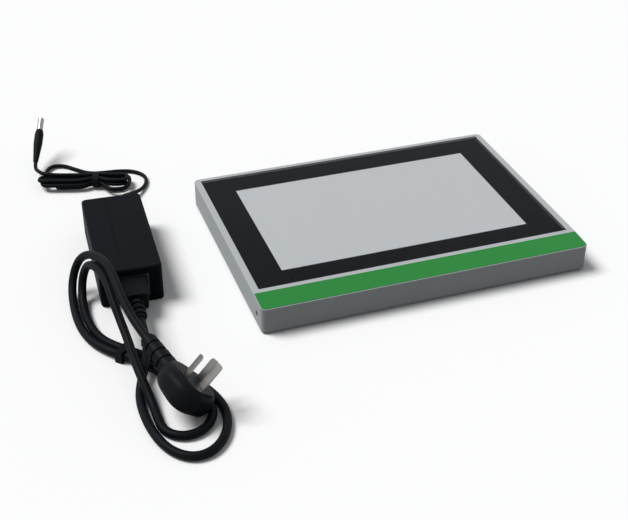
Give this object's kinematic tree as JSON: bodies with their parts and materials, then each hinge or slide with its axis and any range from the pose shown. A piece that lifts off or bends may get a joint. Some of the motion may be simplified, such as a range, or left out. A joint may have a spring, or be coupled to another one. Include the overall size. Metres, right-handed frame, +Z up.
{
  "type": "white light transilluminator",
  "caption": "Flat bench light box with a glass top over an edge-lit white panel, a sloped front strip, a side power switch and socket, and its mains adapter with leads.",
  "frame": {"origin": "centre of the light box footprint, on the plane that its feet stand on", "axes": "+X to the right along the front edge, +Y from the front strip to the back, +Z up through the glass"},
  "size_m": [0.4169, 0.4697, 0.0481],
  "materials": {
    "case_grey": "satin",
    "cover_grey": "satin",
    "black_rubber": "matte",
    "steel": "satin",
    "clear_glass": "polished",
    "black_print": "gloss",
    "black_tape": "matte",
    "green_strip": "gloss",
    "opal": "satin",
    "film": "satin",
    "clear_acrylic": "polished",
    "white_film": "satin",
    "tray_metal": "satin",
    "board_white": "satin",
    "led_yellow": "satin",
    "board_green": "satin",
    "can_metal": "satin",
    "dark_part": "satin",
    "header_white": "matte",
    "tinned": "satin",
    "wire_red": "satin",
    "wire_black": "satin",
    "adapter_black": "matte",
    "ferrite": "matte",
    "winding_tape": "satin",
    "aluminium_plate": "satin",
    "cord_black": "satin",
    "nickel": "satin",
    "plug_insert": "satin"
  },
  "bodies": {
    "light_box": {"adapter_board": "board_green", "adapter_bottom_case": "adapter_black", "adapter_capacitors": "can_metal", "adapter_heatsinks": "aluminium_plate", "adapter_top_case": "adapter_black", "bottom_cover": "cover_grey", "cord_tie": "cord_black", "cover_glass": "clear_glass", "cover_screws": "steel", "diffuser_plate": "opal", "driver_board": "board_green", "driver_board_screws": "steel", "driver_capacitors": "can_metal", "driver_controller": "dark_part", "driver_headers": "header_white", "driver_inductor": "dark_part", "front_led_wires": "wire_red", "front_strip": "green_strip", "glass_tape": "black_tape", "housing": "case_grey", "lead_from_adapter": "cord_black", "lead_hank": "cord_black", "lead_plug_barrel": "nickel", "lead_plug_grip": "cord_black", "lead_strain_relief": "cord_black", "lead_tie": "cord_black", "lead_to_plug": "cord_black", "led_board_front": "board_white", "led_board_rear": "board_white", "led_chips_front": "led_yellow", "led_chips_rear": "led_yellow", "light_guide": "clear_acrylic", "mains_choke": "ferrite", "mains_connector": "cord_black", "mains_cord": "cord_black", "mains_inlet": "dark_part", "mains_inlet_pins": "tinned", "mains_plug_body": "cord_black", "mains_plug_insert": "plug_insert", "panel_tray": "tray_metal", "plug_earth_blade": "nickel", "plug_live_blade": "nickel", "plug_neutral_blade": "nickel", "power_socket": "dark_part", "power_socket_pin": "steel", "power_socket_terminals": "tinned", "printed_border": "black_print", "prism_film": "film", "rear_led_wires": "wire_red", "reflector_sheet": "white_film", "rubber_feet": "black_rubber", "socket_wires": "wire_red", "switch_body": "dark_part", "switch_terminals": "tinned", "switch_wires": "wire_black", "transformer_core": "ferrite", "transformer_winding": "winding_tape", "tray_screws": "steel"},
    "rocker": {"switch_rocker": "dark_part"}
  },
  "joints": [
    {"name": "switch_tip", "type": "hinge", "parent": "light_box", "child": "rocker", "pos_m": [0.14, -0.0894, 0.0105], "axis": [0, 0, 1], "range_deg": [-20, 0]}
  ]
}
